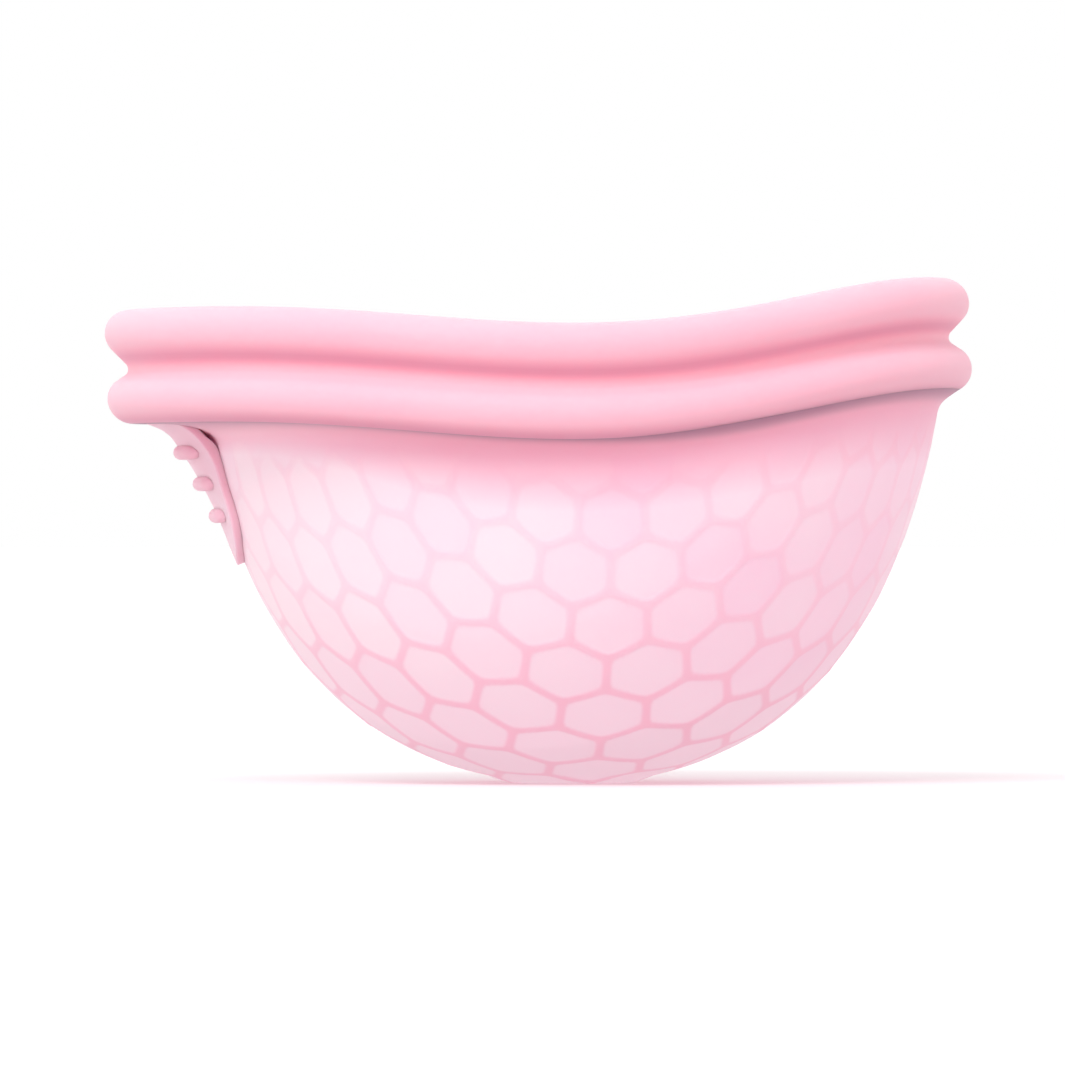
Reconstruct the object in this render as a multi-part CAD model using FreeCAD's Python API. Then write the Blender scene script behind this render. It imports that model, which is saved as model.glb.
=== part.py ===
import FreeCAD, Part

import math
import os

# Reusable silicone menstrual disc: a thin round bowl under a firm oval rim, with a ridged pull tab.
# Frame: the origin is the centre of the bowl's flat foot, +Z is up out of the bowl's mouth, and the
# tab is at -X. The object is the same on both sides of the XZ plane.

Vector = FreeCAD.Vector
UP = Vector(0, 0, 1)
ORIGIN = Vector(0, 0, 0)

# ---------------------------------------------------------------- driving dimensions, millimetres
# Rim: two round beads, one above the other, joined by a web with a V groove on its outer side.
RIM_HALF_LENGTH = 35.4   # bead centre line, along X
RIM_HALF_WIDTH = 33.0    # bead centre line, along Y
RIM_OFFSET = -2.7        # the oval's centre from the bowl's axis, towards the tab
RIM_WAVE = (36.2, 1.17, 1.42, 0.39, -0.38, -0.20)  # cosine terms of the rim's height round the oval
BEAD_RADIUS = 2.0
BEAD_SPACING = 5.8
GROOVE_RADIUS = 0.7

# Bowl: radius = BOWL_RADIUS * (1 - exp(-height / BOWL_DEPTH)) ** BOWL_POWER
BOWL_RADIUS = 35.4
BOWL_DEPTH = 20.2
BOWL_POWER = 0.4744
WALL = 0.7
FOOT_RADIUS = 4.5
SEAM_RADIUS = 20.0       # the bottom of the bowl flexes up inside this cylinder
SEAM_GAP = 0.3

# Shelf: the flange that carries the bowl from the lower bead.
SHELF_THICKNESS = 1.5
SHELF_FILLET = 1.8       # height of the fillet between the wall and the shelf's underside
SHELF_SHARPNESS = 1.8    # weight of the corner point of the two conic fillets

# Tab: an arched tongue that hangs from the shelf. Its sides lie along the bowl, and its middle stands
# further off towards the root, so that a fingertip fits over it.
TAB_THICKNESS = 0.5
TAB_STANDOFF = 0.78      # outer face from the bowl, where the tab lies along it
TAB_HALF_WIDTH = 8.2
TAB_ROOT_TOP = 31.9      # inside the shelf
TAB_ROUNDING = 24.1      # height where the sides begin to round in to the tip
TAB_TIP = 18.75
MIDDLE_START = 21.0      # height where the tab's middle begins to leave the bowl
MIDDLE_BEND = 0.0295     # millimetres out for each squared millimetre above that
SIDE_START = 26.8        # the same for the tab's sides
SIDE_BEND = 0.115
TAB_HINGE = 29.8         # height of the line where the tab bends
TAB_HINGE_GAP = 0.5
RIDGE_THICKNESS = 1.25
RIDGE_PROTRUSION = 0.75
RIDGE_HALF_LENGTH = 6.6
RIDGE_HEIGHTS = {
    "grip_ridge_upper": 28.5,
    "grip_ridge_middle": 25.8,
    "grip_ridge_lower": 23.05,
}

STATIONS = 48            # places round the rim where a ring's section is set
BEAD_HEIGHT = BEAD_SPACING / 2


# ---------------------------------------------------------------- the rim's path and the bowl's curve
def rim_height(turn):
    """Height of the rim's groove at an angle round the oval."""
    return sum(size * math.cos(times * turn) for times, size in enumerate(RIM_WAVE))


def rim(outward, upward):
    """A rail round the rim, offset outwards and upwards from the groove's centre line."""
    def point(turn):
        normal = Vector(math.cos(turn) / RIM_HALF_LENGTH, math.sin(turn) / RIM_HALF_WIDTH, 0)
        normal.normalize()
        centre = Vector(
            RIM_OFFSET + RIM_HALF_LENGTH * math.cos(turn),
            RIM_HALF_WIDTH * math.sin(turn),
            rim_height(turn),
        )
        return centre + normal * outward + UP * upward
    return point


def bowl_radius(height):
    return BOWL_RADIUS * (1 - math.exp(-height / BOWL_DEPTH)) ** BOWL_POWER


def bowl_height(radius):
    return -BOWL_DEPTH * math.log(1 - (radius / BOWL_RADIUS) ** (1 / BOWL_POWER))


def bowl_slope(height):
    """Change of the bowl's radius for each millimetre of height."""
    step = 0.01
    return (bowl_radius(height + step) - bowl_radius(height - step)) / (2 * step)


def bowl_outside(height):
    return bowl_radius(height), height


def bowl_inside(height):
    """The point of the inner face across the wall from the outer face at this height."""
    slope = bowl_slope(height)
    length = math.hypot(1, slope)
    return bowl_radius(height) - WALL / length, height + WALL * slope / length


def height_where(radius_at, radius, low, high):
    """The height between low and high where a growing radius reaches the given one."""
    for _ in range(50):
        middle = (low + high) / 2
        if radius_at(middle) < radius:
            low = middle
        else:
            high = middle
    return (low + high) / 2


# ---------------------------------------------------------------- rings: closed bands round the rim
def turns():
    return [2 * math.pi * station / STATIONS for station in range(STATIONS)]


def smooth_rail(points):
    """Poles of a closed cubic B-spline that passes by the given points."""
    poles = []
    for here, point in enumerate(points):
        before = points[here - 1]
        after = points[(here + 1) % len(points)]
        poles.append(point - (before - point * 2 + after) * (1 / 6))
    return poles


def band(rows, degree, knots, mults, weights):
    """A face that closes round the rim; rows are lists of points, one row for each pole across."""
    rails = [smooth_rail(row) for row in rows]
    surface = Part.BSplineSurface()
    surface.buildFromPolesMultsKnots(
        [[rail[station] for rail in rails] for station in range(STATIONS)],
        [1] * (STATIONS + 1), mults,
        [float(knot) for knot in range(STATIONS + 1)], knots,
        True, False, 3, degree,
        [list(weights) for _ in range(STATIONS)],
    )
    return surface.toShape()


def straight(start, end):
    """A ruled band between two rails."""
    rows = [[rail(turn) for turn in turns()] for rail in (start, end)]
    return [band(rows, 1, [0.0, 1.0], [2, 2], (1, 1))]


def conic(start, corner, end, weight):
    """A band with a conic section, tangent to the lines from its corner rail."""
    rows = [[rail(turn) for turn in turns()] for rail in (start, corner, end)]
    return [band(rows, 2, [0.0, 1.0], [3, 3], (1, weight, 1))]


def bead_arc(upward, start, end):
    """Bands along a bead's circle between two angles in degrees, in pieces of 90 degrees or less."""
    pieces = math.ceil(abs(end - start) / 90)
    half = math.radians(end - start) / pieces / 2
    faces = []
    for piece in range(pieces):
        middle = math.radians(start) + half * (2 * piece + 1)

        def on_circle(angle, radius):
            return rim(radius * math.cos(angle), upward + radius * math.sin(angle))

        faces += conic(
            on_circle(middle - half, BEAD_RADIUS),
            on_circle(middle, BEAD_RADIUS / math.cos(half)),
            on_circle(middle + half, BEAD_RADIUS),
            math.cos(half),
        )
    return faces


def profile(points_at):
    """A band whose section is a smooth curve through the points that points_at gives at each turn."""
    columns = []
    for turn in turns():
        points = points_at(turn)
        curve = Part.BSplineCurve()
        curve.interpolate(Points=points, Parameters=[float(place) for place in range(len(points))])
        columns.append(curve.getPoles())
    rows = [list(row) for row in zip(*columns)]
    return [band(rows, 3, curve.getKnots(), curve.getMultiplicities(), [1] * len(rows))]


def ring(*groups):
    """A closed solid from bands that go once round its section."""
    shell = Part.Shell([face for group in groups for face in group])
    shell.sewShape()
    solid = Part.Solid(shell)
    if solid.Volume < 0:
        solid.reverse()
    return solid


# ---------------------------------------------------------------- the rim's section
SLANT = BEAD_RADIUS * math.sin(math.radians(45))
WEB_TOP = BEAD_HEIGHT - SLANT
GROOVE_TIP = SLANT - WEB_TOP            # where the groove's two 45 degree flanks would meet
GROOVE_TANGENT = GROOVE_RADIUS * math.sin(math.radians(45))
SHELF_BOTTOM = -BEAD_HEIGHT - BEAD_RADIUS

upper_outer = rim(SLANT, WEB_TOP)
upper_inner = rim(-SLANT, WEB_TOP)
lower_outer = rim(SLANT, -WEB_TOP)
lower_inner = rim(-SLANT, -WEB_TOP)
bead_bottom = rim(0, SHELF_BOTTOM)
bead_inside = rim(-BEAD_RADIUS, -BEAD_HEIGHT)


def make_upper_bead():
    return ring(bead_arc(BEAD_HEIGHT, -45, 225), straight(upper_inner, upper_outer))


def make_web():
    upper_tangent = rim(GROOVE_TIP + GROOVE_TANGENT, GROOVE_TANGENT)
    lower_tangent = rim(GROOVE_TIP + GROOVE_TANGENT, -GROOVE_TANGENT)
    root = conic(upper_tangent, rim(GROOVE_TIP, 0), lower_tangent, math.cos(math.radians(45)))
    return ring(
        straight(upper_inner, upper_outer),
        straight(upper_outer, upper_tangent),
        root,
        straight(lower_tangent, lower_outer),
        straight(lower_outer, lower_inner),
        straight(lower_inner, upper_inner),
    )


def make_lower_bead():
    return ring(
        straight(lower_inner, lower_outer),
        bead_arc(-BEAD_HEIGHT, 45, -90),
        straight(bead_bottom, bead_inside),
        bead_arc(-BEAD_HEIGHT, 180, 135),
    )


# ---------------------------------------------------------------- the shelf and the bowl
def wall_top(turn):
    """Height where the wall's outer face meets the fillet under the shelf."""
    return rim_height(turn) + SHELF_BOTTOM - SHELF_FILLET


def beside_rim(turn, radius, height):
    """A point at this distance from the bowl's axis, in the direction of the rim at this turn."""
    direction = rim(0, 0)(turn)
    direction.z = 0
    direction.normalize()
    return direction * radius + UP * height


def wall_outer_edge(turn):
    return beside_rim(turn, *bowl_outside(wall_top(turn)))


def wall_inner_edge(turn):
    return beside_rim(turn, *bowl_inside(wall_top(turn)))


def outer_corner(turn):
    """On the outer face's tangent, level with the shelf's underside."""
    slope = bowl_slope(wall_top(turn))
    radius = bowl_outside(wall_top(turn))[0]
    return beside_rim(turn, radius + slope * SHELF_FILLET, wall_top(turn) + SHELF_FILLET)


def inner_corner(turn):
    """On the inner face's tangent, level with the shelf's top."""
    slope = bowl_slope(wall_top(turn))
    radius, height = bowl_inside(wall_top(turn))
    top = rim_height(turn) + SHELF_BOTTOM + SHELF_THICKNESS
    return beside_rim(turn, radius + slope * (top - height), top)


def make_shelf():
    return ring(
        straight(bead_inside, bead_bottom),
        conic(bead_bottom, outer_corner, wall_outer_edge, SHELF_SHARPNESS),
        straight(wall_outer_edge, wall_inner_edge),
        conic(wall_inner_edge, inner_corner, bead_inside, SHELF_SHARPNESS),
    )


def make_wall():
    cut = SEAM_RADIUS + SEAM_GAP / 2
    outer_start = bowl_height(cut)
    inner_start = height_where(lambda height: bowl_inside(height)[0], cut, outer_start, outer_start + 5)
    steps = 6

    def face_points(surface, start):
        def points(turn):
            rise = wall_top(turn) - start
            heights = [start + rise * step / steps for step in range(steps + 1)]
            return [beside_rim(turn, *surface(height)) for height in heights]
        return points

    def cut_outer(turn):
        return beside_rim(turn, *bowl_outside(outer_start))

    def cut_inner(turn):
        return beside_rim(turn, *bowl_inside(inner_start))

    return ring(
        profile(face_points(bowl_outside, outer_start)),
        straight(wall_outer_edge, wall_inner_edge),
        profile(face_points(bowl_inside, inner_start)),
        straight(cut_outer, cut_inner),
    )


def spline_edge(points, start_tangent=None):
    """An edge through (radius, height) points in the XZ plane."""
    curve = Part.BSplineCurve()
    places = [Vector(radius, 0, height) for radius, height in points]
    if start_tangent is None:
        curve.interpolate(places)
    else:
        tangents = [start_tangent] + [Vector(1, 0, 0)] * (len(places) - 1)
        flags = [True] + [False] * (len(places) - 1)
        curve.interpolate(Points=places, Tangents=tangents, TangentFlags=flags)
    return curve.toShape()


def line_edge(start, end):
    return Part.makeLine(Vector(start[0], 0, start[1]), Vector(end[0], 0, end[1]))


def make_base():
    edge = SEAM_RADIUS - SEAM_GAP / 2
    radii = [7.0, 10.0, 13.5, 17.0]
    outer_top = bowl_height(edge)
    inner_top = height_where(lambda height: bowl_inside(height)[0], edge, outer_top, outer_top + 5)
    outer = [(FOOT_RADIUS, 0)] + [bowl_outside(bowl_height(radius)) for radius in radii + [edge]]
    inner = [(FOOT_RADIUS, WALL)] + [bowl_inside(bowl_height(radius)) for radius in radii]
    inner.append(bowl_inside(inner_top))
    flat = Vector(1, 0, 0)
    outline = Part.Wire([
        line_edge((0, 0), outer[0]),
        spline_edge(outer, flat),
        line_edge(outer[-1], inner[-1]),
        spline_edge(inner, flat),
        line_edge(inner[0], (0, WALL)),
        line_edge((0, WALL), (0, 0)),
    ])
    return Part.Face(outline).revolve(ORIGIN, UP, 360)


# ---------------------------------------------------------------- the pull tab
def tab_standoff(across, height):
    """Distance of the tab's outer face from the bowl, along a line from the bowl's axis."""
    middle = TAB_STANDOFF + MIDDLE_BEND * max(0.0, height - MIDDLE_START) ** 2
    side = TAB_STANDOFF + SIDE_BEND * max(0.0, height - SIDE_START) ** 2
    return middle + (side - middle) * (across / TAB_HALF_WIDTH) ** 2


def tab_face_point(across, height):
    radius = bowl_radius(height) + tab_standoff(across, height)
    return Vector(-math.sqrt(radius ** 2 - across ** 2), across, height)


def tab_point(across, height, outward):
    """A point this far out from the tab's outer face, square to it."""
    step = 0.01
    sideways = tab_face_point(across + step, height) - tab_face_point(across - step, height)
    upwards = tab_face_point(across, height + step) - tab_face_point(across, height - step)
    normal = upwards.cross(sideways)
    normal.normalize()
    if normal.x > 0:
        normal = normal * -1
    return tab_face_point(across, height) + normal * outward


def tab_sheet(outer, inner):
    """The solid between two faces that run alongside the tab's outer face, larger than the tab."""
    steps = 8
    reach = TAB_HALF_WIDTH * 1.2
    low, high = TAB_TIP - 1, TAB_ROOT_TOP + 1
    across = [reach * (2 * step / steps - 1) for step in range(steps + 1)]
    heights = [low + (high - low) * step / steps for step in range(steps + 1)]
    faces = []
    for outward in (outer, inner):
        surface = Part.BSplineSurface()
        grid = [[tab_point(place, height, outward) for place in across] for height in heights]
        surface.interpolate(grid)
        faces.append(surface.toShape())
    sides = [Part.makeRuledSurface(*edges) for edges in zip(faces[0].Edges, faces[1].Edges)]
    return ring(faces, sides)


def outline_block(edges):
    """A block that reaches from the YZ plane out through the tab, with the outline of these edges."""
    outline = Part.Face(Part.Wire(Part.__sortEdges__(edges)))
    return outline.extrude(Vector(-2 * BOWL_RADIUS, 0, 0))


def tongue_block(low, high):
    """The part of the tongue's outline between two heights, as a block."""
    right = Vector(0, TAB_HALF_WIDTH, TAB_ROUNDING)
    left = Vector(0, -TAB_HALF_WIDTH, TAB_ROUNDING)
    top = UP * (TAB_ROOT_TOP - TAB_ROUNDING)
    ellipse = Part.Ellipse(right, Vector(0, 0, TAB_TIP), Vector(0, 0, TAB_ROUNDING))
    tip = Part.ArcOfEllipse(ellipse, 0, math.pi).toShape()
    tongue = outline_block([
        tip,
        Part.makeLine(left, left + top),
        Part.makeLine(left + top, right + top),
        Part.makeLine(right + top, right),
    ])
    corner = Vector(-3 * BOWL_RADIUS, -BOWL_RADIUS, low)
    return tongue.common(Part.makeBox(3 * BOWL_RADIUS, 2 * BOWL_RADIUS, high - low, corner))


def make_tab_root(neighbours):
    """The fixed root of the tab, from the bending line up to the shelf."""
    root = tab_sheet(0, -TAB_THICKNESS).common(tongue_block(TAB_HINGE + TAB_HINGE_GAP / 2, TAB_ROOT_TOP))
    for neighbour in neighbours:
        root = root.cut(neighbour)
    pieces = sorted(root.Solids, key=lambda piece: piece.CenterOfMass.z)
    return pieces[0]


def make_pull_tab():
    """The free part of the tab, below the bending line."""
    block = tongue_block(TAB_TIP - 1, TAB_HINGE - TAB_HINGE_GAP / 2)
    return tab_sheet(0, -TAB_THICKNESS).common(block).Solids[0]


def make_ridge(height):
    """One grip ridge: a level bar with round ends on the tab's outer face."""
    half = RIDGE_THICKNESS / 2
    flat = RIDGE_HALF_LENGTH - half
    corners = {
        (side, level): Vector(0, side * flat, height + level * half)
        for side in (-1, 1) for level in (-1, 1)
    }
    ends = [
        Part.Arc(corners[side, 1], Vector(0, side * RIDGE_HALF_LENGTH, height), corners[side, -1]).toShape()
        for side in (-1, 1)
    ]
    block = outline_block(ends + [
        Part.makeLine(corners[-1, 1], corners[1, 1]),
        Part.makeLine(corners[-1, -1], corners[1, -1]),
    ])
    return tab_sheet(RIDGE_PROTRUSION, 0).common(block).Solids[0]


# ---------------------------------------------------------------- all the nodes
def build():
    nodes = {
        "rim_upper_bead": make_upper_bead(),
        "rim_web": make_web(),
        "rim_lower_bead": make_lower_bead(),
        "rim_shelf": make_shelf(),
        "bowl_wall": make_wall(),
        "bowl_base": make_base(),
    }
    nodes["tab_root"] = make_tab_root([nodes["rim_shelf"], nodes["rim_lower_bead"]])
    nodes["pull_tab"] = make_pull_tab()
    for name, height in RIDGE_HEIGHTS.items():
        nodes[name] = make_ridge(height)
    return nodes


os.makedirs("parts", exist_ok=True)
for name, solid in build().items():
    print(name, solid.ShapeType, solid.isValid(), round(solid.Volume, 1), solid.BoundBox)
    solid.exportStep("parts/" + name + ".step")
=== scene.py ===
import math

import bmesh
import bpy
import numpy as np
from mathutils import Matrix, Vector
from mathutils.geometry import delaunay_2d_cdt


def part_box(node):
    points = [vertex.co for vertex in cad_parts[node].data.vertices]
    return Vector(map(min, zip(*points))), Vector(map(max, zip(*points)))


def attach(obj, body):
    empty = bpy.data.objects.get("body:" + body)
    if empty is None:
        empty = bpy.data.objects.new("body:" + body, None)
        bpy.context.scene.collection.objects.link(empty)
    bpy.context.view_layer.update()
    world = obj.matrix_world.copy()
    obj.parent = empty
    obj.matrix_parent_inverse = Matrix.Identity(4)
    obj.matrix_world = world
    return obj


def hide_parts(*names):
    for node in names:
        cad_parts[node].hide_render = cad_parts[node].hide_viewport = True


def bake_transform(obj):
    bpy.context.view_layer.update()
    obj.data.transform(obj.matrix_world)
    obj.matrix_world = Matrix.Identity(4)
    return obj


# A reusable silicone menstrual disc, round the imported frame. Lengths are in millimetres until a mesh
# is written, where MM turns them into metres. The origin is the bowl's foot, +Z is up, the tab is at -X.

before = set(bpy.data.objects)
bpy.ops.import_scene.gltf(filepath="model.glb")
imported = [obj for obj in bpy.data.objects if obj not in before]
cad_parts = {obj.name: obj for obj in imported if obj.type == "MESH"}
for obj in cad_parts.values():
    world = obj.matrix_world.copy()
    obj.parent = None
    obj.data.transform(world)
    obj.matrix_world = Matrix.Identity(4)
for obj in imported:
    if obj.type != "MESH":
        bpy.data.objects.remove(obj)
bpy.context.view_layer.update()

MM = 0.001
TURN = 2 * math.pi

# ------------------------------------------------------------------ the object's sizes, millimetres
bead_low, bead_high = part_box("rim_upper_bead")
BEAD_RADIUS = 2.0
BEAD_SPACING = 5.8         # from one bead's centre to the other's
RIM_HALF_LENGTH = (bead_high.x - bead_low.x) / MM / 2 - BEAD_RADIUS
RIM_HALF_WIDTH = (bead_high.y - bead_low.y) / MM / 2 - BEAD_RADIUS
RIM_OFFSET = (bead_high.x + bead_low.x) / MM / 2
RIM_WAVE = (36.2, 1.17, 1.42, 0.39, -0.38, -0.20)   # cosine terms of the rim's height
RIM_LEAN = 0.12            # half the most that a bead draws in, the upper one at +X and the lower one at -X
GROOVE_RADIUS = 0.62       # of the groove's rounded root
UPPER_FLANK = 45           # how steeply the groove's two flanks run, degrees
LOWER_FLANK = 33
GROOVE_SHADE = 0.75        # height over the groove line where the painted shade under the upper bead is deepest
GROOVE_SHADE_SPREAD = 0.6  # how far above and below that the painted shade reaches
UNDERSIDE_SHADE_START = 0.9      # how far under the lower bead's centre its painted shade begins
OUTSIDE = (-1.2, 0.2)      # distances outwards where the painted shade starts and is full
INNER_HOLLOW = 4.0         # radius of the shallow hollow between the beads, on the rim's inner side

BOWL_RADIUS = 35.4         # radius = BOWL_RADIUS * (1 - exp(-height / BOWL_DEPTH)) ** BOWL_POWER
BOWL_DEPTH = 20.2
BOWL_POWER = 0.4744
CURVE_SPLIT = 14.0         # radius up to which the curve's points are spaced by radius; past it, by height
CURVE_TOP = 34.0           # height where the curve's points end, inside the rim
LOW_STEPS = 300            # points of the curve's two parts
HIGH_STEPS = 600
WALL = 0.7                 # thickness of the bowl
FOOT_RADIUS = 4.5          # of the flat foot
FOOT_BLEND = 7.5           # radius where the flat foot has given way to the bowl's curve
SHELF_THICKNESS = 1.5
SHELF_FILLET = 1.8
SHELF_SHARPNESS = (1.8, 1.0)   # of the fillet under the shelf, where the shelf is narrow and where it is wide
INNER_DEPTH = 0.6          # how far under 0 the value of below goes on the shelf's top, which keeps it pale, free of the painted crease shade
SHELF_WRAP = 30            # degrees of the bead's underside that the shelf covers where the wall is near
NEAR_GAP = (1.0, 2.2)      # distances from the wall out to the rim where the wall is near, and no longer is
WIDE_GAP = (3.0, 6.0)      # the same where the shelf begins to count as wide, and fully does
FILLET_STEPS = 12

CELL_EAST = np.array((7.937, -0.947))       # from a honeycomb cell to the next, on the unrolled bowl
CELL_SOUTH = np.array((3.509, -5.844))
CELL_ORIGIN = np.array((0.492, 36.375))
UNROLL_BEND = -0.035       # s = rho * (1 + UNROLL_BEND * (rho / UNROLL_SCALE) ** 2)
UNROLL_SCALE = 43.15
UNROLL_REACH = 62          # how far out the tables of the unrolled bowl go, past its edge
RIB_FLAT = 0.20            # half width of a rib's full height
RIB_FOOT = 0.56            # half width of a rib at its foot
RIB_CORNER = 6.0           # how sharp a cell's corners are, per millimetre
INNER_RIB = 0.22           # height of the ribs inside the bowl
OUTER_RIB = 0.05           # and outside it
RIB_FADE = (0.3, 2.8)      # distances below the shelf's fillet where the pattern starts and is full
FOOT_FADE = (0.5, 3.0)     # the same, out from the foot's centre
CELLS_EACH_WAY = 14        # how far the honeycomb is counted from its origin, before it is cut to the bowl
CELLS_MARGIN = 8           # how far past the bowl's edge a cell's centre may lie
SIDE_POINTS = 6            # mesh points along each side of a cell
BORDER_RINGS = (RIB_FLAT, 0.32, 0.44, RIB_FOOT, 0.75, 1.0)   # rings of points, by distance from the border
INNER_RINGS = ((0.68, 2), (0.36, 3))   # inside those: a share of the last ring, with 1 point in so many
EDGE_CLEARANCE = 0.45      # least distance from the points inside the bowl's edge to the edge
TONE_HASH = (12.9898, 78.233, 43758.5453)   # gives each cell a tone that looks random and is always the same

TAB_THICKNESS = 0.7
TAB_SINK = 0.05            # how far the tab's inner face presses into the soft bowl, where it touches
SIDE_BAND = (6.6, 7.9)     # distances across from the tab's middle where its side starts and is full
SIDE_LEAVES = (28.2, 29.6) # heights where the tab's sides leave the bowl, and a small hollow opens
ROOT_FILL = (27.5, 29.3)   # heights where the root's middle thickens to reach the bowl
TAB_STANDOFF = 0.78        # outer face from the bowl, where the tab lies along it
TAB_EDGE_ROUNDING = 0.12   # of the outer edge; the inner one is nearly square
TAB_INNER_ROUNDING = 0.02
TAB_HALF_WIDTH = 8.2
TAB_BURIED = 31.3          # the root's end, inside the shelf
TAB_ROUNDING = 24.1        # height where the sides begin to round in to the tip
TAB_TIP = 18.75
MIDDLE_START = 21.0        # height where the tab's middle begins to leave the bowl
MIDDLE_BEND = 0.0295       # its distance is this times the square of the height over that
SIDE_START = 26.8          # the same for the tab's sides
SIDE_BEND = 0.115
ROOT_FLARE = 1.4           # how far the root's middle flares out as it meets the rim
SIDE_FLARE = 0.35          # the sides' share of that
ROOT_FLARE_START = 29.4    # heights where the flare starts and is full
ROOT_FLARE_END = 31.0
TONGUE_ROWS = 64           # mesh rows down the tab's straight part and round its tip, and points across it
TIP_ROWS = 30
ACROSS_STEPS = 56
EDGE_STEPS = 4             # steps round each rounding of the tab's edge
NORMAL_STEP = 0.02         # distance over which the tab's slope is measured
RIDGE_HEIGHTS = {"upper": 28.5, "middle": 25.8, "lower": 23.05}
RIDGE_HALF_LENGTH = 6.6
RIDGE_THICKNESS = 1.25
RIDGE_PROTRUSION = 0.75
RIDGE_BURIED = 0.2         # how deep a ridge's foot goes into the tab
RIDGE_END = 1.4            # length over which a ridge's end rounds off
RIDGE_STRAIGHT_POINTS = 50
RIDGE_END_POINTS = 12
RIDGE_NOSE_POINTS = 15
RIDGE_FOOT_POINTS = 7
TAB_EDGE_SHADE = 0.2       # how much painted shade there is on the tab's edge, and on its ridges
RIDGE_SHADE = 0.3
WELD = 0.002               # points of the tab and its ridges that are nearer than this become one

RIM_STATIONS = 480         # mesh points round the rim, and round the bowl's edge
SKIN_STATIONS = 340


def smoothstep(value, low, high):
    """0 up to low, 1 from high on, and a smooth rise between."""
    t = np.clip((np.asarray(value, float) - low) / (high - low), 0, 1)
    return t * t * (3 - 2 * t)


# ------------------------------------------------------------------ meshes
def make_mesh(name, points, faces, sharp_degrees, attributes, weld=None):
    """A smooth-shaded object from points in millimetres, with sharp edges where faces meet steeply."""
    mesh = bpy.data.meshes.new(name)
    mesh.from_pydata([tuple(float(c) * MM for c in p) for p in points], [], faces)
    for key, values in attributes.items():
        layer = mesh.attributes.new(key, "FLOAT", "POINT")
        layer.data.foreach_set("value", np.asarray(values, np.float32))
    work = bmesh.new()
    work.from_mesh(mesh)
    if weld:
        bmesh.ops.remove_doubles(work, verts=work.verts, dist=weld * MM)
        bmesh.ops.dissolve_degenerate(work, dist=weld * MM * 0.5, edges=work.edges)
    bmesh.ops.recalc_face_normals(work, faces=work.faces)
    for face in work.faces:
        face.smooth = True
    for edge in work.edges:
        if len(edge.link_faces) == 2 and edge.calc_face_angle(0) > math.radians(sharp_degrees):
            edge.smooth = False
    work.to_mesh(mesh)
    work.free()
    shape = bpy.data.objects.new(name, mesh)
    bpy.context.scene.collection.objects.link(shape)
    return shape


def loop_faces(rows, columns, close_rows=False):
    """Quads for a grid whose columns close on themselves; rows close too if asked."""
    last = rows if close_rows else rows - 1
    faces = []
    for row in range(last):
        below = row * columns
        above = (row + 1) % rows * columns
        for column in range(columns):
            after = (column + 1) % columns
            faces.append((below + column, below + after, above + after, above + column))
    return faces


# ------------------------------------------------------------------ the rim
BEAD_HEIGHT = BEAD_SPACING / 2
SHELF_BOTTOM = -BEAD_HEIGHT - BEAD_RADIUS


def rim_height(turn):
    """Height of the groove line, this far round the rim."""
    return sum(size * np.cos(times * turn) for times, size in enumerate(RIM_WAVE))


def rim_points(turn, outward, upward):
    """Points beside the rim's groove line; turn, outward and upward are arrays or numbers."""
    nx, ny = np.cos(turn) / RIM_HALF_LENGTH, np.sin(turn) / RIM_HALF_WIDTH
    length = np.hypot(nx, ny)
    outward = outward - RIM_LEAN * (np.cos(turn) * upward + np.abs(upward)) / BEAD_HEIGHT
    x = RIM_OFFSET + RIM_HALF_LENGTH * np.cos(turn) + nx / length * outward
    y = RIM_HALF_WIDTH * np.sin(turn) + ny / length * outward
    return np.stack([x, y, rim_height(turn) + upward + 0 * x], axis=-1)


def arc(centre, radius, start, end, steps):
    """Points of an arc, angles in degrees, both ends included."""
    angles = np.radians(np.linspace(start, end, steps + 1))
    return [(centre[0] + radius * math.cos(a), centre[1] + radius * math.sin(a)) for a in angles]


def line(start, end, steps):
    """Points between two points, both ends left out."""
    shares = np.linspace(0, 1, steps + 1)[1:-1]
    return [(start[0] + (end[0] - start[0]) * s, start[1] + (end[1] - start[1]) * s) for s in shares]


def groove_centre():
    """The centre of the groove's root arc, which touches both flanks."""
    def offset(bead, angle):
        """A flank's line moved in to the root's centre: its normal, and how far along it the line lies."""
        normal = math.cos(math.radians(angle)), math.sin(math.radians(angle))
        return normal, normal[1] * bead + BEAD_RADIUS + GROOVE_RADIUS

    (ax, ay), a = offset(BEAD_HEIGHT, UPPER_FLANK - 90)
    (bx, by), b = offset(-BEAD_HEIGHT, 90 - LOWER_FLANK)
    scale = ax * by - ay * bx
    return (a * by - ay * b) / scale, (ax * b - a * bx) / scale


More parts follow.
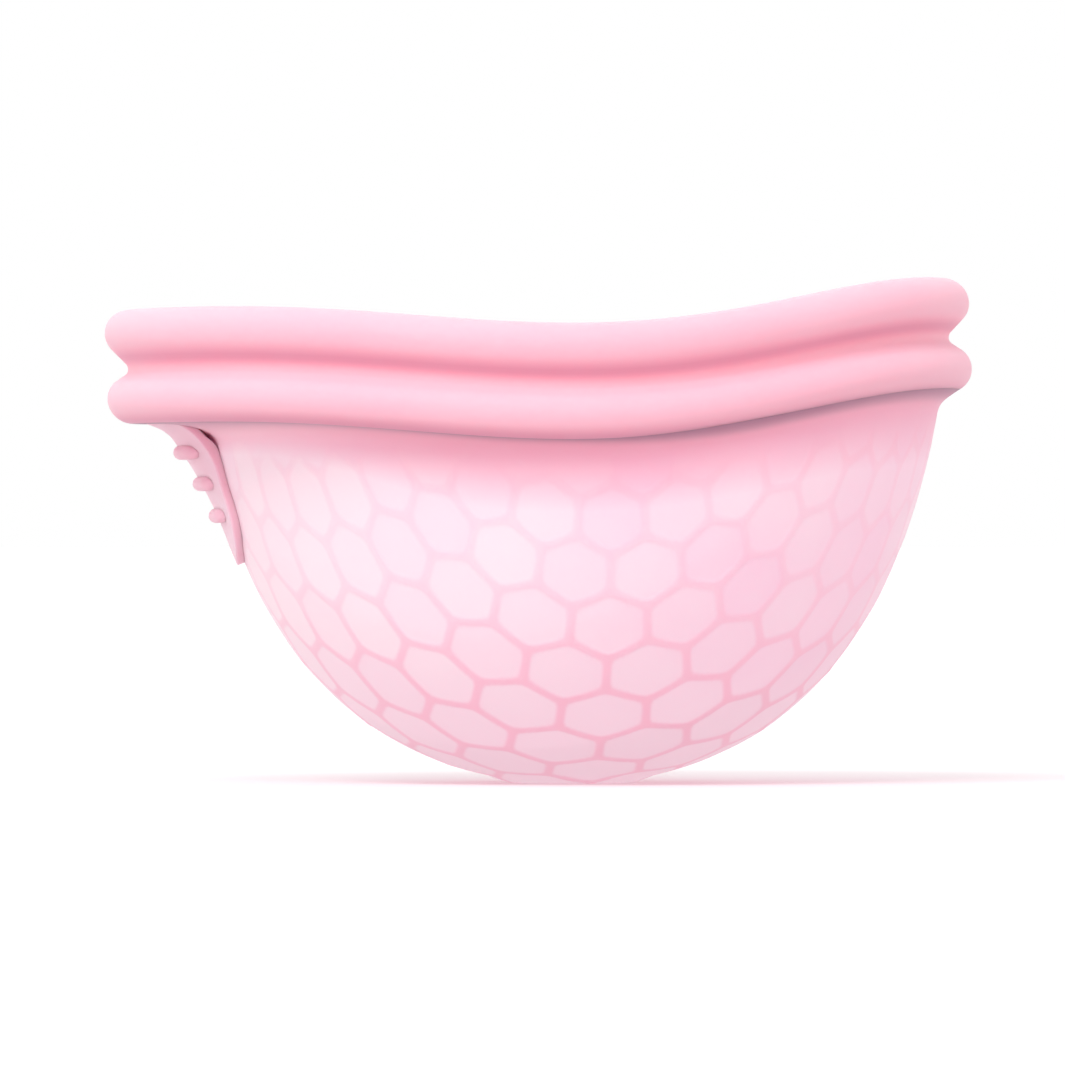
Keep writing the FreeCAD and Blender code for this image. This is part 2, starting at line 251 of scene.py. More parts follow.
def rim_section():
    """The rim's closed outline, outwards and upwards from the groove line."""
    upper, lower = (0, BEAD_HEIGHT), (0, -BEAD_HEIGHT)
    reach = BEAD_RADIUS + INNER_HOLLOW
    hollow = (-math.sqrt(reach ** 2 - BEAD_HEIGHT ** 2), 0)
    lean = math.degrees(math.asin(BEAD_HEIGHT / reach))
    over_top = arc(upper, BEAD_RADIUS, UPPER_FLANK - 90, 180 + lean, 30)
    inner_hollow = arc(hollow, INNER_HOLLOW, lean, -lean, 8)[1:-1]
    inner_side = arc(lower, BEAD_RADIUS, 180 - lean, 180, 4)
    joint = line((-BEAD_RADIUS, -BEAD_HEIGHT), (0, SHELF_BOTTOM), 4)
    under = arc(lower, BEAD_RADIUS, -90, 90 - LOWER_FLANK, 20)
    groove = arc(groove_centre(), GROOVE_RADIUS, 270 - LOWER_FLANK, 90 + UPPER_FLANK, 10)
    flank_low = line(under[-1], groove[0], 3)
    flank_high = line(groove[-1], over_top[0], 4)
    return over_top + inner_hollow + inner_side + joint + under + flank_low + groove + flank_high


def make_rim():
    """The whole rim band, with an attribute for painted shade: in the groove under the upper bead and under
    the lower bead.
    """
    section = np.array(rim_section())
    turn = np.arange(RIM_STATIONS) * TURN / RIM_STATIONS
    rows = [rim_points(turn, outward, upward) for outward, upward in section]
    points = np.concatenate(rows)
    depth = np.repeat(section[:, 0], RIM_STATIONS)
    height = np.repeat(section[:, 1], RIM_STATIONS)
    # painted shade: a darker colour in the groove under the upper bead and on the lower bead's underside,
    # where shade falls
    outside = smoothstep(depth, *OUTSIDE)
    under_upper_bead = np.exp(-((height - GROOVE_SHADE) / GROOVE_SHADE_SPREAD) ** 2)
    under_lower_bead = smoothstep(-height, BEAD_HEIGHT + UNDERSIDE_SHADE_START, BEAD_HEIGHT + BEAD_RADIUS)
    painted_shade = (under_upper_bead + under_lower_bead) * outside
    faces = loop_faces(len(section), RIM_STATIONS, close_rows=True)
    return make_mesh("rim_ring", points, faces, 40, {"painted_shade": painted_shade})


# ------------------------------------------------------------------ the bowl's curve by arc length
def bowl_radius(height):
    """Radius of the outer face at a height, above the foot."""
    return BOWL_RADIUS * (1 - np.exp(-np.asarray(height, float) / BOWL_DEPTH)) ** BOWL_POWER


def bowl_height(radius):
    """Height of the outer face at a radius, with the flat foot."""
    radius = np.asarray(radius, float)
    curve = -BOWL_DEPTH * np.log(1 - (radius / BOWL_RADIUS) ** (1 / BOWL_POWER))
    return curve * smoothstep(radius, FOOT_RADIUS, FOOT_BLEND)


def bowl_curve():
    """(arc length, radius, height) tables of the outer face, from the foot's centre to above the shelf."""
    low = np.linspace(0, CURVE_SPLIT, LOW_STEPS)
    high = np.linspace(float(bowl_height(CURVE_SPLIT)), CURVE_TOP, HIGH_STEPS)[1:]
    radius = np.concatenate([low, bowl_radius(high)])
    height = np.concatenate([bowl_height(low), high])
    steps = np.hypot(np.diff(radius), np.diff(height))
    return np.concatenate([[0], np.cumsum(steps)]), radius, height


CURVE_S, CURVE_R, CURVE_Z = bowl_curve()
CURVE_DR = np.gradient(CURVE_R, CURVE_S)
CURVE_DZ = np.gradient(CURVE_Z, CURVE_S)


def around(azimuth, radius, height):
    """Points round the Z axis."""
    return np.stack([radius * np.cos(azimuth), radius * np.sin(azimuth), height], axis=1)


def on_curve(s, inward):
    """(radius, height) of points an arc length up the bowl and a distance in from its outer face."""
    dr, dz = np.interp(s, CURVE_S, CURVE_DR), np.interp(s, CURVE_S, CURVE_DZ)
    length = np.hypot(dr, dz)
    radius = np.interp(s, CURVE_S, CURVE_R) - inward * dz / length
    return radius, np.interp(s, CURVE_S, CURVE_Z) + inward * dr / length


# ------------------------------------------------------------------ the honeycomb on the unrolled bowl
RHO_TABLE = np.linspace(0, UNROLL_REACH, 1200)
S_TABLE = RHO_TABLE * (1 + UNROLL_BEND * (RHO_TABLE / UNROLL_SCALE) ** 2)
LATTICE = np.array([CELL_EAST, CELL_SOUTH]).T
REGULAR = np.array([(1.0, 0.0), (0.5, -math.sqrt(3) / 2)]).T      # the same basis on a regular honeycomb
TO_REGULAR = REGULAR @ np.linalg.inv(LATTICE)
SIDES = np.array([(math.cos(math.radians(a)), math.sin(math.radians(a))) for a in (0, 60, 120)])


def nearest_cells(plane):
    """The centre of the cell that holds each point of the unrolled bowl."""
    index = np.rint((plane - CELL_ORIGIN) @ np.linalg.inv(LATTICE).T)
    best, best_far = None, None
    for step in ((0, 0), (1, 0), (-1, 0), (0, 1), (0, -1), (1, -1), (-1, 1)):
        centre = (index + step) @ LATTICE.T + CELL_ORIGIN
        far = np.linalg.norm((plane - centre) @ TO_REGULAR.T, axis=1)
        if best is None:
            best, best_far = centre, far
        else:
            closer = far < best_far
            best = np.where(closer[:, None], centre, best)
            best_far = np.where(closer, far, best_far)
    return best


def border_distance(plane, centre):
    """Distance in millimetres along the bowl's face from each point to its cell's rounded border."""
    rho = np.maximum(np.linalg.norm(plane, axis=1), 1e-6)
    s = np.interp(rho, RHO_TABLE, S_TABLE)
    along = 1 + 3 * UNROLL_BEND * (rho / UNROLL_SCALE) ** 2
    around = np.where(rho < 0.5, 1.0, np.interp(s, CURVE_S, CURVE_R) / rho)
    out = plane / rho[:, None]
    offset = (plane - centre) @ TO_REGULAR.T
    total = 0
    for side in SIDES:
        covector = side @ TO_REGULAR
        radial = out @ covector / along
        sideways = (out[:, 0] * covector[1] - out[:, 1] * covector[0]) / around
        distance = (0.5 - np.abs(offset @ side)) / np.hypot(radial, sideways)
        total = total + np.exp(-RIB_CORNER * distance)
    return -np.log(total) / RIB_CORNER


def cell_centres(reach):
    """Centres of the cells whose centre lies within a radius on the unrolled bowl."""
    steps = np.arange(-CELLS_EACH_WAY, CELLS_EACH_WAY + 1)
    index = np.array([(i, j) for i in steps for j in steps], float)
    centres = index @ LATTICE.T + CELL_ORIGIN
    return centres[np.linalg.norm(centres, axis=1) < reach]


def cell_points(centres):
    """Points that follow every rib: rings at set distances from each cell's border, and the border."""
    corner_angles = np.radians(np.arange(30, 390, 60))
    corners = [np.array((math.cos(a), math.sin(a))) / math.sqrt(3) for a in corner_angles]
    outline = []
    for corner, after in zip(corners, corners[1:] + corners[:1]):
        outline += [corner + (after - corner) * k / SIDE_POINTS for k in range(SIDE_POINTS)]
    border = np.array(outline) @ np.linalg.inv(TO_REGULAR).T
    found = [(centres[:, None] + border[None]).reshape(-1, 2)]
    rays = np.tile(border, (len(centres), 1))
    base = np.repeat(centres, len(border), axis=0)
    for distance in BORDER_RINGS:
        low, high = np.zeros(len(rays)), np.ones(len(rays))
        for _ in range(24):
            middle = (low + high) / 2
            inside = border_distance(base + rays * middle[:, None], base) > distance
            low, high = np.where(inside, middle, low), np.where(inside, high, middle)
        found.append(base + rays * low[:, None])
    inner_share = low.reshape(len(centres), -1)
    for share, skip in INNER_RINGS:
        chosen = inner_share[:, ::skip] * share
        found.append((centres[:, None] + border[None, ::skip] * chosen[..., None]).reshape(-1, 2))
    found.append(centres)
    return np.concatenate(found)


def skin_columns():
    """The bowl's top edge: the rim's turns, the bowl's azimuths there and the arc length up the bowl."""
    turn = np.arange(SKIN_STATIONS) * TURN / SKIN_STATIONS
    centre = rim_points(turn, 0, 0)
    azimuth = np.arctan2(centre[:, 1], centre[:, 0])
    top = rim_height(turn) + SHELF_BOTTOM - SHELF_FILLET
    return turn, azimuth, np.interp(top, CURVE_Z[LOW_STEPS:], CURVE_S[LOW_STEPS:])


def triangulate(columns):
    """Plane points and triangles of the unrolled bowl, its top edge's points first."""
    _, azimuth, top_s = columns
    rho = np.interp(top_s, S_TABLE, RHO_TABLE)
    edge = np.stack([rho * np.cos(azimuth), -rho * np.sin(azimuth)], axis=1)
    inside = cell_points(cell_centres(rho.max() + CELLS_MARGIN))
    angle = np.arctan2(-inside[:, 1], inside[:, 0])
    order = np.argsort(azimuth)
    limit = np.interp(angle, azimuth[order], rho[order], period=TURN)
    inside = inside[np.linalg.norm(inside, axis=1) < limit - EDGE_CLEARANCE]
    inside = np.unique(np.round(inside, 4), axis=0)
    points = [Vector(p) for p in np.concatenate([edge, inside]).tolist()]
    count = len(edge)
    loop = list(range(count))
    edges = [(k, (k + 1) % count) for k in loop]
    verts, _, faces, origin, _, _ = delaunay_2d_cdt(points, edges, [loop], 1, 1e-5)
    plane = np.array([tuple(v) for v in verts])
    place = {}
    for new, olds in enumerate(origin):
        for old in olds:
            if old < count:
                place[old] = new
    return plane, faces, [place[k] for k in loop]


def skin_face(plane, columns, inner):
    """Points of the bowl's outer or inner face over the plane's points, and their values for the material."""
    rho = np.linalg.norm(plane, axis=1)
    azimuth = np.arctan2(-plane[:, 1], plane[:, 0])
    s = np.interp(rho, RHO_TABLE, S_TABLE)
    _, edge_azimuth, edge_s = columns
    order = np.argsort(edge_azimuth)
    below = np.interp(azimuth, edge_azimuth[order], edge_s[order], period=TURN) - s
    centre = nearest_cells(plane)
    distance = border_distance(plane, centre)
    rib = 1 - smoothstep(distance, RIB_FLAT, RIB_FOOT)
    rib = rib * smoothstep(below, *RIB_FADE) * smoothstep(rho, *FOOT_FADE)
    inward = WALL + INNER_RIB * rib if inner else -OUTER_RIB * rib
    radius, height = on_curve(s, inward)
    points = around(azimuth, radius, np.maximum(height, 0))
    first, second, size = TONE_HASH
    tone = np.sin(centre[:, 0] * first + centre[:, 1] * second) * size
    return points, {"rib": rib, "below": below, "tone": tone - np.floor(tone)}


def conic(start, corner, end, sharpness):
    """Rows of points along a conic from start to end, tangent to the lines from its corner."""
    rows = []
    for t in np.linspace(0, 1, FILLET_STEPS + 1):
        weights = (1 - t) ** 2, 2 * t * (1 - t) * sharpness, t * t
        rows.append((start * weights[0] + corner * weights[1] + end * weights[2]) / sum(weights))
    return rows


def shelf_rows(columns):
    """Rows of points from the bowl's outer top edge to the bead and back to its inner one.

    The second result is their value of below, which carries on from the skin's.
    """
    turn, azimuth, top_s = columns
    slope = np.interp(top_s, CURVE_S, CURVE_DR) / np.interp(top_s, CURVE_S, CURVE_DZ)
    wall_radius, wall_height = on_curve(top_s, 0)
    gap = np.hypot(*rim_points(turn, 0, 0)[:, :2].T) - wall_radius
    near = 1 - smoothstep(gap, *NEAR_GAP)
    narrow, wide = SHELF_SHARPNESS
    sharpness = (narrow + (wide - narrow) * smoothstep(gap, *WIDE_GAP))[:, None]
    angle = np.radians(SHELF_WRAP * near - 90)
    bead = rim_points(turn, BEAD_RADIUS * np.cos(angle), BEAD_RADIUS * np.sin(angle) - BEAD_HEIGHT)
    drop = (np.hypot(bead[:, 0], bead[:, 1]) - wall_radius) * np.tan(angle + math.pi / 2)
    level = bead[:, 2] - drop
    corner = around(azimuth, wall_radius + slope * (level - wall_height), level)
    under = conic(around(azimuth, wall_radius, wall_height), corner, bead, sharpness)[1:]

    inner_radius, inner_height = on_curve(top_s, WALL)
    shelf_top = rim_height(turn) + SHELF_BOTTOM + SHELF_THICKNESS
    inner_corner = around(azimuth, inner_radius + slope * (shelf_top - inner_height), shelf_top)
    inside = rim_points(turn, -BEAD_RADIUS, -BEAD_HEIGHT)
    over = conic(inside, inner_corner, around(azimuth, inner_radius, inner_height), narrow)[:-1]
    rise_out = np.linspace(0, -SHELF_FILLET, len(under) + 1)[1:]
    rise_back = np.linspace(-INNER_DEPTH, 0, len(over) + 1)[:-1]
    return under + over, np.repeat(np.concatenate([rise_out, rise_back]), SKIN_STATIONS)


def make_bowl():
    """The bowl with its shelf: two skins over the same triangles, joined by the shelf's rows."""
    columns = skin_columns()
    plane, faces, edge = triangulate(columns)
    outer, outer_values = skin_face(plane, columns, inner=False)
    inner, inner_values = skin_face(plane, columns, inner=True)
    shelf, shelf_below = shelf_rows(columns)
    parts = [outer, inner] + shelf
    starts = np.cumsum([0] + [len(part) for part in parts])
    outer_ring = np.array(edge)
    inner_ring = np.array(edge) + len(outer)
    rings = [outer_ring]
    rings += [np.arange(SKIN_STATIONS) + start for start in starts[2:-1]]
    rings.append(inner_ring)
    all_faces = [tuple(face) for face in faces]
    all_faces += [tuple(index + len(outer) for index in reversed(face)) for face in faces]
    for low, high in zip(rings[:-1], rings[1:]):
        for k in range(SKIN_STATIONS):
            after = (k + 1) % SKIN_STATIONS
            all_faces.append((int(low[k]), int(low[after]), int(high[after]), int(high[k])))
    shelf_values = {"rib": 0 * shelf_below, "below": shelf_below, "tone": 0 * shelf_below + 0.5}
    values = {}
    for key, shelf_value in shelf_values.items():
        values[key] = np.concatenate([outer_values[key], inner_values[key], shelf_value])
    return make_mesh("bowl_skin", np.concatenate(parts), all_faces, 50, values)


# ------------------------------------------------------------------ the pull tab
def tab_face_point(across, height):
    """A point of the tab's outer face, this far across from its middle."""
    middle = TAB_STANDOFF + MIDDLE_BEND * max(0, height - MIDDLE_START) ** 2
    side = TAB_STANDOFF + SIDE_BEND * max(0, height - SIDE_START) ** 2
    flare = max(0, (height - ROOT_FLARE_START) / (ROOT_FLARE_END - ROOT_FLARE_START)) ** 3
    share = (across / TAB_HALF_WIDTH) ** 2
    standoff = middle + (side - middle) * share + ROOT_FLARE * flare * (1 + (SIDE_FLARE - 1) * share)
    radius = float(bowl_radius(height)) + standoff
    return Vector((-math.sqrt(radius ** 2 - across ** 2), across, height))


def tab_normal(across, height):
    """The outward normal of the tab's outer face."""
    sideways = tab_face_point(across + NORMAL_STEP, height) - tab_face_point(across - NORMAL_STEP, height)
    upwards = tab_face_point(across, height + NORMAL_STEP) - tab_face_point(across, height - NORMAL_STEP)
    return upwards.cross(sideways).normalized()


def tab_point(across, height, depth):
    """A point this deep under the outer face, where TAB_THICKNESS is the inner face."""
    face, normal = tab_face_point(across, height), tab_normal(across, height)
    clearance = (math.hypot(face.x, face.y) - float(bowl_radius(height))) * math.hypot(normal.x, normal.y)
    side = float(smoothstep(abs(across), *SIDE_BAND))
    touching = side * (1 - float(smoothstep(height, *SIDE_LEAVES)))
    touching = max(touching, (1 - side) * float(smoothstep(height, *ROOT_FILL)))
    thickness = TAB_THICKNESS + (max(TAB_THICKNESS, clearance + TAB_SINK) - TAB_THICKNESS) * touching
    return face - normal * (depth * thickness / TAB_THICKNESS)


def tongue_side(inset):
    """(half width, height) down one side of the tongue to its tip, moved in from its edge."""
    width, drop = TAB_HALF_WIDTH - inset, TAB_ROUNDING - TAB_TIP - inset
    side = [(width, height) for height in np.linspace(TAB_BURIED, TAB_ROUNDING, TONGUE_ROWS)]
    turns = np.linspace(0, math.pi / 2, TIP_ROWS + 1)[1:]
    return side + [(width * math.cos(a), TAB_ROUNDING - drop * math.sin(a)) for a in turns]


def tongue_edge():
    """(inset, depth) round the tongue's edge, from its outer face to its inner one."""
    angles = np.linspace(0, math.pi / 2, EDGE_STEPS + 1)

    def corner(rounding):
        return [(rounding * (1 - math.sin(a)), rounding * (1 - math.cos(a))) for a in angles]

    inner = [(inset, TAB_THICKNESS - depth) for inset, depth in reversed(corner(TAB_INNER_ROUNDING))]
    return corner(TAB_EDGE_ROUNDING) + inner + [(TAB_EDGE_ROUNDING, TAB_THICKNESS)]


def make_tab():
    """The strap: an outer and an inner face, the rings round its edge between them, and a cap at its root."""
    faces, points, grids = [], [], []
    for depth in (0, TAB_THICKNESS):
        grid = []
        for width, height in tongue_side(TAB_EDGE_ROUNDING):
            grid.append(range(len(points), len(points) + ACROSS_STEPS + 1))
            points += [tab_point(a, height, depth) for a in np.linspace(-width, width, ACROSS_STEPS + 1)]
        grids.append(grid)
        for above, below in zip(grid[:-1], grid[1:]):
            faces += list(zip(above[:-1], above[1:], below[1:], below[:-1]))
    on_faces = len(points)
    rings = [[row[0] for row in grids[0]] + [row[-1] for row in reversed(grids[0])]]
    for inset, depth in tongue_edge()[1:-1]:
        side = tongue_side(inset)
        outline = [(-width, height) for width, height in side]
        outline += [(width, height) for width, height in reversed(side)]
        rings.append(range(len(points), len(points) + len(outline)))
        points += [tab_point(width, height, depth) for width, height in outline]
    rings.append([row[0] for row in grids[1]] + [row[-1] for row in reversed(grids[1])])
    for outer, inner in zip(rings[:-1], rings[1:]):
        faces += list(zip(outer[:-1], outer[1:], inner[1:], inner[:-1]))
    cap = list(grids[0][0]) + [ring[-1] for ring in rings[1:-1]]
    cap += list(reversed(grids[1][0])) + [ring[0] for ring in reversed(rings[1:-1])]
    faces.append(cap)
    # painted shade on the tab's edge
    edge = TAB_EDGE_SHADE * (np.arange(len(points)) >= on_faces)
    return make_mesh("pull_tab_strap", points, faces, 60, {"painted_shade": edge}, WELD)


def make_ridge(name, height):
    """A level bar across the tab with a round nose and rounded ends."""
    nose = RIDGE_THICKNESS / 2
    reach = RIDGE_PROTRUSION - nose
    straight = RIDGE_HALF_LENGTH - RIDGE_END
    places = list(np.linspace(-straight, straight, RIDGE_STRAIGHT_POINTS))
    ends = straight + RIDGE_END * np.sin(np.linspace(0, math.pi / 2, RIDGE_END_POINTS))[1:]
    places = [-end for end in reversed(ends)] + places + list(ends)
    points = []
    for across in places:
        past = max(0.0, abs(across) - straight) / RIDGE_END
        share = math.sqrt(max(0.0, 1 - past ** 2))
        level = tab_normal(across, height)
        level.z = 0
        level.normalize()
        centre = tab_face_point(across, height) + level * (reach * share)
        for angle in np.linspace(math.pi / 2, -math.pi / 2, RIDGE_NOSE_POINTS):
            rise = Vector((0, 0, nose * share * math.sin(angle)))
            points.append(centre + level * (nose * share * math.cos(angle)) + rise)
        for up in np.linspace(-nose, nose, RIDGE_FOOT_POINTS):
            points.append(tab_point(across, height + up * share, RIDGE_BURIED))
    # painted shade over the whole ridge
    depth = np.full(len(points), RIDGE_SHADE)
    faces = loop_faces(len(places), RIDGE_NOSE_POINTS + RIDGE_FOOT_POINTS)
    return make_mesh(name, points, faces, 60, {"painted_shade": depth}, WELD)


# ------------------------------------------------------------------ materials
def linear(red, green, blue):
    """A colour from its screen values, 0 to 255."""
    def one(value):
        value /= 255
        return value / 12.92 if value <= 0.04045 else ((value + 0.055) / 1.055) ** 2.4
    return (one(red), one(green), one(blue), 1.0)


class Nodes:
    """A short way to write a material's nodes."""

    def __init__(self, name):
        self.material = bpy.data.materials.new(name)
        self.material.use_nodes = True
        self.tree = self.material.node_tree
        self.shader = self.tree.nodes["Principled BSDF"]

    def put(self, socket, value):
        """Give a socket a link or a plain value."""
        if isinstance(value, bpy.types.NodeSocket):
            self.tree.links.new(value, socket)
        else:
            socket.default_value = value

    def math(self, operation, first, second, clamp=False):
        node = self.tree.nodes.new("ShaderNodeMath")
        node.operation, node.use_clamp = operation, clamp
        for socket, value in zip(node.inputs, (first, second)):
            self.put(socket, value)
        return node.outputs[0]

    def mix(self, share, first, second):
        node = self.tree.nodes.new("ShaderNodeMix")
        node.data_type = "RGBA"
        self.put(node.inputs["Factor"], share)
        colours = [socket for socket in node.inputs if socket.type == "RGBA"]
        self.put(colours[0], first)
        self.put(colours[1], second)
        return next(socket for socket in node.outputs if socket.type == "RGBA")

    def ramp(self, value, low, high, from_value=0.0, to_value=1.0, kind="SMOOTHSTEP"):
        node = self.tree.nodes.new("ShaderNodeMapRange")
        node.interpolation_type = kind
        for socket, number in zip(node.inputs, (value, low, high, from_value, to_value)):
            self.put(socket, number)
        return node.outputs[0]

    def attribute(self, name):
        node = self.tree.nodes.new("ShaderNodeAttribute")
        node.attribute_name = name
        return node.outputs["Fac"]

    def along(self, axis, low, high, from_value=0.0, to_value=1.0):
        """A value that changes between two places on an axis, which are in millimetres."""
        place = self.tree.nodes.new("ShaderNodeTexCoord")
        split = self.tree.nodes.new("ShaderNodeSeparateXYZ")
        self.put(split.inputs[0], place.outputs["Object"])
        return self.ramp(split.outputs[axis], low * MM, high * MM, from_value, to_value)

    def noise(self, size, detail=2.0):
        """Noise with features of this size in millimetres, in the object's own space."""
        place = self.tree.nodes.new("ShaderNodeTexCoord")
        node = self.tree.nodes.new("ShaderNodeTexNoise")
        self.put(node.inputs["Vector"], place.outputs["Object"])
        self.put(node.inputs["Scale"], 1 / (size * MM))
        self.put(node.inputs["Detail"], detail)
        return node.outputs[0]

    def bump(self, height, strength, distance):
        node = self.tree.nodes.new("ShaderNodeBump")
        self.put(node.inputs["Height"], height)
        self.put(node.inputs["Strength"], strength)
        self.put(node.inputs["Distance"], distance * MM)
        self.put(self.shader.inputs["Normal"], node.outputs[0])


SILICONE_IOR = 1.41
SILICONE_SHINE = 0.25
ROUGHNESS = (0.50, 0.60)   # the least and the most, as the gloss varies
GLOSS_PATCH = 9.0          # size of the patches of different gloss
GRAIN_SIZE = 0.16          # of the fine moulded grain, with its depth and the bump's strength
GRAIN_DEPTH = 0.02
GRAIN_STRENGTH = 0.12


def silicone(name, colour, subsurface, scatter, scatter_tint):
    """Soft satin silicone: a fine moulded grain, a little unevenness in gloss, and light inside."""
    nodes = Nodes(name)
    shader = nodes.shader
    shader.inputs["Subsurface Weight"].default_value = subsurface
    shader.inputs["Subsurface Scale"].default_value = scatter * MM
    shader.inputs["Subsurface Radius"].default_value = scatter_tint
    shader.inputs["IOR"].default_value = SILICONE_IOR
    shader.inputs["Specular IOR Level"].default_value = SILICONE_SHINE
    gloss = nodes.noise(GLOSS_PATCH)
    nodes.put(shader.inputs["Roughness"], nodes.ramp(gloss, 0.3, 0.7, *ROUGHNESS))
    nodes.bump(nodes.noise(GRAIN_SIZE, 3.0), GRAIN_STRENGTH, GRAIN_DEPTH)
    nodes.put(shader.inputs["Base Color"], colour(nodes))
    return nodes.material


RIM_PINK = linear(252, 198, 211)
RIM_DEEP = linear(249, 182, 201)
# painted shade: in the rim's groove and under its lower bead, on the tab's edge and on its ridges
RIM_PAINTED_SHADE = linear(222, 156, 179)
TAB_PINK = linear(255, 220, 230)
BOWL_PALE = linear(253, 232, 237)
# the cells' random tones, and painted shade on the bowl's right side
BOWL_LILAC_TONE_AND_SHADE = linear(246, 219, 231)
BOWL_LOW = linear(254, 227, 235)
BOWL_RIB = linear(248, 203, 217)
# pink of the thicker silicone next to the rim, with painted shadow from the rim mixed in
BOWL_TOP_PINK_AND_SHADOW = linear(230, 170, 190)
# painted shade in the crease under the rim
BOWL_CREASE_SHADE = linear(146, 112, 134)

RIGHT_SHADE_BAND = (-12, 16)     # X between which the painted shade on the bowl's right side, a lilac tint, comes in
LOW_BAND = (4, 14)         # heights between which the foot's pink fades
RIB_BAND = (5, 21)         # heights between which the ribs' colour weakens
REACH_BAND = (-28, -6)     # X between which the top's pink, partly painted shadow, comes to reach further down the bowl
TOP_REACH = (1.0, 4.5)     # how far down it reaches at the two
TOP_FULL = -2.6            # value of below where the top's pink, partly painted shadow, is full
CREASE_SHADE_BAND = (-2.2, -0.5)   # values of below where the painted crease shade is full, and gone

# the share of light that scatters inside, how far it goes, and how far of that in red, green and blue
RIM_GLOW = (0.9, 1.2, (1.0, 0.75, 0.8))
BOWL_GLOW = (0.95, 1.2, (1.0, 0.85, 0.9))
TAB_GLOW = (0.9, 0.5, (0.9, 0.9, 0.95))


def rim_colour(nodes):
    """Pink with faint clouds, and painted shade in the groove and under the lower bead."""
    cloud = nodes.ramp(nodes.noise(14.0), 0.35, 0.65, 0.0, 0.14)
    body = nodes.mix(cloud, RIM_PINK, RIM_DEEP)
    # mixes in the painted shade that the mesh's attribute marks
    return nodes.mix(nodes.math("MULTIPLY", nodes.attribute("painted_shade"), 0.8, clamp=True), body, RIM_PAINTED_SHADE)


def bowl_colour(nodes):
    """Pale cells of slightly different tones, deeper ribs, a pink that deepens to the foot, painted shade on
    the right side, the thicker top's pink with painted shadow under the rim, and painted shade in the crease
    below it.
    """
    tone = nodes.math("MULTIPLY", nodes.attribute("tone"), 0.4)
    cloud = nodes.ramp(nodes.noise(16.0), 0.3, 0.7, 0.3, 0.7)
    # painted shade on the right side, broken into clouds
    right_side_shade = nodes.math("MULTIPLY", cloud, nodes.along("X", *RIGHT_SHADE_BAND))
    cell = nodes.mix(nodes.math("ADD", tone, right_side_shade, clamp=True), BOWL_PALE, BOWL_LILAC_TONE_AND_SHADE)
    cell = nodes.mix(nodes.along("Z", *LOW_BAND, 0.9, 0.0), cell, BOWL_LOW)
    strength = nodes.along("Z", *RIB_BAND, 0.95, 0.28)
    wall = nodes.mix(nodes.math("MULTIPLY", nodes.attribute("rib"), strength), cell, BOWL_RIB)
    below = nodes.attribute("below")
    reach = nodes.along("X", *REACH_BAND, *TOP_REACH)
    # the top's pink: the thicker silicone's colour near the rim, and partly a painted shadow of the rim
    wall = nodes.mix(nodes.ramp(below, TOP_FULL, reach, 1.0, 0.0, "LINEAR"), wall, BOWL_TOP_PINK_AND_SHADOW)
    # painted shade in the crease under the rim
    return nodes.mix(nodes.ramp(below, *CREASE_SHADE_BAND, 0.9, 0.0), wall, BOWL_CREASE_SHADE)


def tab_colour(nodes):
    """A pale pink with faint clouds, and painted shade on the edge and on the ridges."""
    cloud = nodes.ramp(nodes.noise(8.0), 0.35, 0.65, 0.0, 0.25)
    face = nodes.mix(cloud, TAB_PINK, RIM_DEEP)
    # mixes in the painted shade on the edge and ridges
    return nodes.mix(nodes.attribute("painted_shade"), face, RIM_PAINTED_SHADE)


def floor_material():
    """Plain pale paper."""
    nodes = Nodes("floor_paper")
    shade = nodes.ramp(nodes.noise(60.0), 0.3, 0.7)
    paper = nodes.mix(shade, (0.95, 0.95, 0.95, 1), (0.97, 0.965, 0.97, 1))
    nodes.put(nodes.shader.inputs["Base Color"], paper)
    nodes.shader.inputs["Roughness"].default_value = 0.9
    nodes.shader.inputs["Specular IOR Level"].default_value = 0.1
    return nodes.material


# ------------------------------------------------------------------ the pieces
rim_silicone = silicone("rim_silicone_satin", rim_colour, *RIM_GLOW)
bowl_silicone = silicone("bowl_silicone_thin", bowl_colour, *BOWL_GLOW)
tab_silicone = silicone("tab_silicone_satin", tab_colour, *TAB_GLOW)

rim = make_rim()
rim.data.materials.append(rim_silicone)
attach(rim, "cup")
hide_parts("rim_upper_bead", "rim_web", "rim_lower_bead")

bowl = make_bowl()
bowl.data.materials.append(bowl_silicone)
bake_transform(bowl)
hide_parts("bowl_wall", "bowl_base", "rim_shelf")

tab = make_tab()
tab.data.materials.append(tab_silicone)
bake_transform(tab)
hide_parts("tab_root", "pull_tab")

for place, height in RIDGE_HEIGHTS.items():
    ridge = make_ridge("grip_bar_" + place, height)
    ridge.data.materials.append(tab_silicone)
    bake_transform(ridge)
    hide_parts("grip_ridge_" + place)


# ------------------------------------------------------------------ the stage
WORLD_ABOVE = 1.05         # how bright the light is from above, from below and from the right
WORLD_BELOW = 1.05
WORLD_RIGHT = 0.92
WORLD_LOW = (-0.06, -0.02)     # Z of the directions where the light from below gives way to the horizon's
WORLD_HIGH = (0.06, 0.16)      # Z where the light from the right comes in, over the white horizon
WORLD_TOP = (0.06, 0.25)       # Z where the light from above comes in
WORLD_SIDE = (0.1, 0.8)        # X where the light from the right comes in
FILL_TINT = (1.0, 0.80, 0.85, 1)     # of the light from below and from the right
SUN_STRENGTH = 1.15
SUN_SPREAD = 30            # degrees
SUN_FROM = (-0.3, -0.85, 0.8)
FLOOR_RADIUS = 20          # metres
VIEW_WIDTH = 91.9          # across the picture, at the object's middle
VIEW_X = -3.2              # the picture's middle
VIEW_Z = 21.6
CAMERA_DISTANCE = 1295
SENSOR_WIDTH = 36


